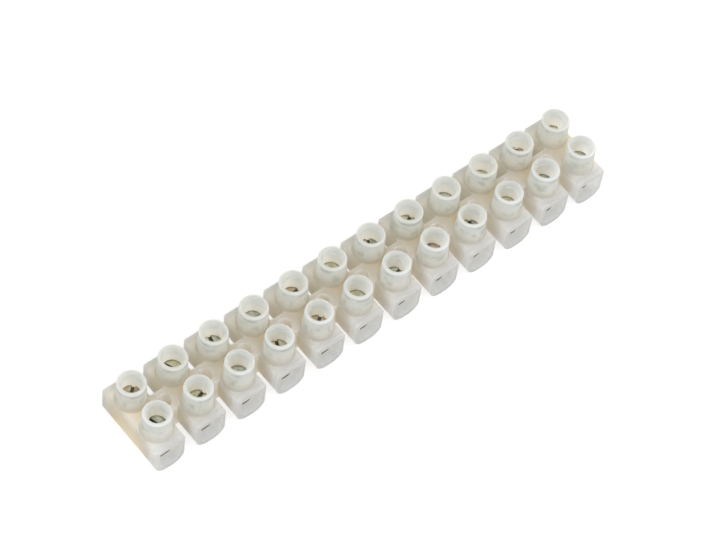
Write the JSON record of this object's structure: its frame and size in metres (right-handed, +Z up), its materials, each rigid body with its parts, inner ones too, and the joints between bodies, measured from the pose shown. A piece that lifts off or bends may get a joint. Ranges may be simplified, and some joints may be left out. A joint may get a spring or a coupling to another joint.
{
  "type": "terminal strip",
  "caption": "Strip of screw terminals in one translucent moulding: brass tubes take a wire from each side, and captive screws in upright towers clamp them.",
  "frame": {"origin": "on the base plane under the middle of the strip", "axes": "+X along the row of poles, +Y along the wires from the front row to the back row, +Z up the towers"},
  "size_m": [0.1172, 0.018, 0.014],
  "materials": {
    "housing_plastic": "natural translucent moulding, satin",
    "brass": "drawn tube, slightly dull",
    "screw_steel": "yellow-grey plated steel, worn in the slot"
  },
  "bodies": {
    "strip": {"housing": "housing_plastic", "tube_01": "brass", "tube_02": "brass", "tube_03": "brass", "tube_04": "brass", "tube_05": "brass", "tube_06": "brass", "tube_07": "brass", "tube_08": "brass", "tube_09": "brass", "tube_10": "brass", "tube_11": "brass", "tube_12": "brass"},
    "front_screw_01": {"front_screw_01": "screw_steel"},
    "front_screw_02": {"front_screw_02": "screw_steel"},
    "front_screw_03": {"front_screw_03": "screw_steel"},
    "front_screw_04": {"front_screw_04": "screw_steel"},
    "front_screw_05": {"front_screw_05": "screw_steel"},
    "front_screw_06": {"front_screw_06": "screw_steel"},
    "front_screw_07": {"front_screw_07": "screw_steel"},
    "front_screw_08": {"front_screw_08": "screw_steel"},
    "front_screw_09": {"front_screw_09": "screw_steel"},
    "front_screw_10": {"front_screw_10": "screw_steel"},
    "front_screw_11": {"front_screw_11": "screw_steel"},
    "front_screw_12": {"front_screw_12": "screw_steel"},
    "back_screw_01": {"back_screw_01": "screw_steel"},
    "back_screw_02": {"back_screw_02": "screw_steel"},
    "back_screw_03": {"back_screw_03": "screw_steel"},
    "back_screw_04": {"back_screw_04": "screw_steel"},
    "back_screw_05": {"back_screw_05": "screw_steel"},
    "back_screw_06": {"back_screw_06": "screw_steel"},
    "back_screw_07": {"back_screw_07": "screw_steel"},
    "back_screw_08": {"back_screw_08": "screw_steel"},
    "back_screw_09": {"back_screw_09": "screw_steel"},
    "back_screw_10": {"back_screw_10": "screw_steel"},
    "back_screw_11": {"back_screw_11": "screw_steel"},
    "back_screw_12": {"back_screw_12": "screw_steel"}
  },
  "joints": [
    {"name": "front_screw_01_travel", "type": "slide", "parent": "strip", "child": "front_screw_01", "axis": [0, 0, 1], "range_m": [-0.00265, 0.00255]},
    {"name": "front_screw_02_travel", "type": "slide", "parent": "strip", "child": "front_screw_02", "axis": [0, 0, 1], "range_m": [-0.0026, 0.0026]},
    {"name": "front_screw_03_travel", "type": "slide", "parent": "strip", "child": "front_screw_03", "axis": [0, 0, 1], "range_m": [-0.00225, 0.00295]},
    {"name": "front_screw_04_travel", "type": "slide", "parent": "strip", "child": "front_screw_04", "axis": [0, 0, 1], "range_m": [-0.00255, 0.00265]},
    {"name": "front_screw_05_travel", "type": "slide", "parent": "strip", "child": "front_screw_05", "axis": [0, 0, 1], "range_m": [-0.0024, 0.0028]},
    {"name": "front_screw_06_travel", "type": "slide", "parent": "strip", "child": "front_screw_06", "axis": [0, 0, 1], "range_m": [-0.00275, 0.00245]},
    {"name": "front_screw_07_travel", "type": "slide", "parent": "strip", "child": "front_screw_07", "axis": [0, 0, 1], "range_m": [-0.00235, 0.00285]},
    {"name": "front_screw_08_travel", "type": "slide", "parent": "strip", "child": "front_screw_08", "axis": [0, 0, 1], "range_m": [-0.00235, 0.00285]},
    {"name": "front_screw_09_travel", "type": "slide", "parent": "strip", "child": "front_screw_09", "axis": [0, 0, 1], "range_m": [-0.00255, 0.00265]},
    {"name": "front_screw_10_travel", "type": "slide", "parent": "strip", "child": "front_screw_10", "axis": [0, 0, 1], "range_m": [-0.00245, 0.00275]},
    {"name": "front_screw_11_travel", "type": "slide", "parent": "strip", "child": "front_screw_11", "axis": [0, 0, 1], "range_m": [-0.0023, 0.0029]},
    {"name": "front_screw_12_travel", "type": "slide", "parent": "strip", "child": "front_screw_12", "axis": [0, 0, 1], "range_m": [-0.00255, 0.00265]},
    {"name": "back_screw_01_travel", "type": "slide", "parent": "strip", "child": "back_screw_01", "axis": [0, 0, 1], "range_m": [-0.00265, 0.00255]},
    {"name": "back_screw_02_travel", "type": "slide", "parent": "strip", "child": "back_screw_02", "axis": [0, 0, 1], "range_m": [-0.00275, 0.00245]},
    {"name": "back_screw_03_travel", "type": "slide", "parent": "strip", "child": "back_screw_03", "axis": [0, 0, 1], "range_m": [-0.0025, 0.0027]},
    {"name": "back_screw_04_travel", "type": "slide", "parent": "strip", "child": "back_screw_04", "axis": [0, 0, 1], "range_m": [-0.00245, 0.00275]},
    {"name": "back_screw_05_travel", "type": "slide", "parent": "strip", "child": "back_screw_05", "axis": [0, 0, 1], "range_m": [-0.00225, 0.00295]},
    {"name": "back_screw_06_travel", "type": "slide", "parent": "strip", "child": "back_screw_06", "axis": [0, 0, 1], "range_m": [-0.00255, 0.00265]},
    {"name": "back_screw_07_travel", "type": "slide", "parent": "strip", "child": "back_screw_07", "axis": [0, 0, 1], "range_m": [-0.0025, 0.0027]},
    {"name": "back_screw_08_travel", "type": "slide", "parent": "strip", "child": "back_screw_08", "axis": [0, 0, 1], "range_m": [-0.00255, 0.00265]},
    {"name": "back_screw_09_travel", "type": "slide", "parent": "strip", "child": "back_screw_09", "axis": [0, 0, 1], "range_m": [-0.00245, 0.00275]},
    {"name": "back_screw_10_travel", "type": "slide", "parent": "strip", "child": "back_screw_10", "axis": [0, 0, 1], "range_m": [-0.00225, 0.00295]},
    {"name": "back_screw_11_travel", "type": "slide", "parent": "strip", "child": "back_screw_11", "axis": [0, 0, 1], "range_m": [-0.00235, 0.00285]},
    {"name": "back_screw_12_travel", "type": "slide", "parent": "strip", "child": "back_screw_12", "axis": [0, 0, 1], "range_m": [-0.00225, 0.00295]}
  ]
}
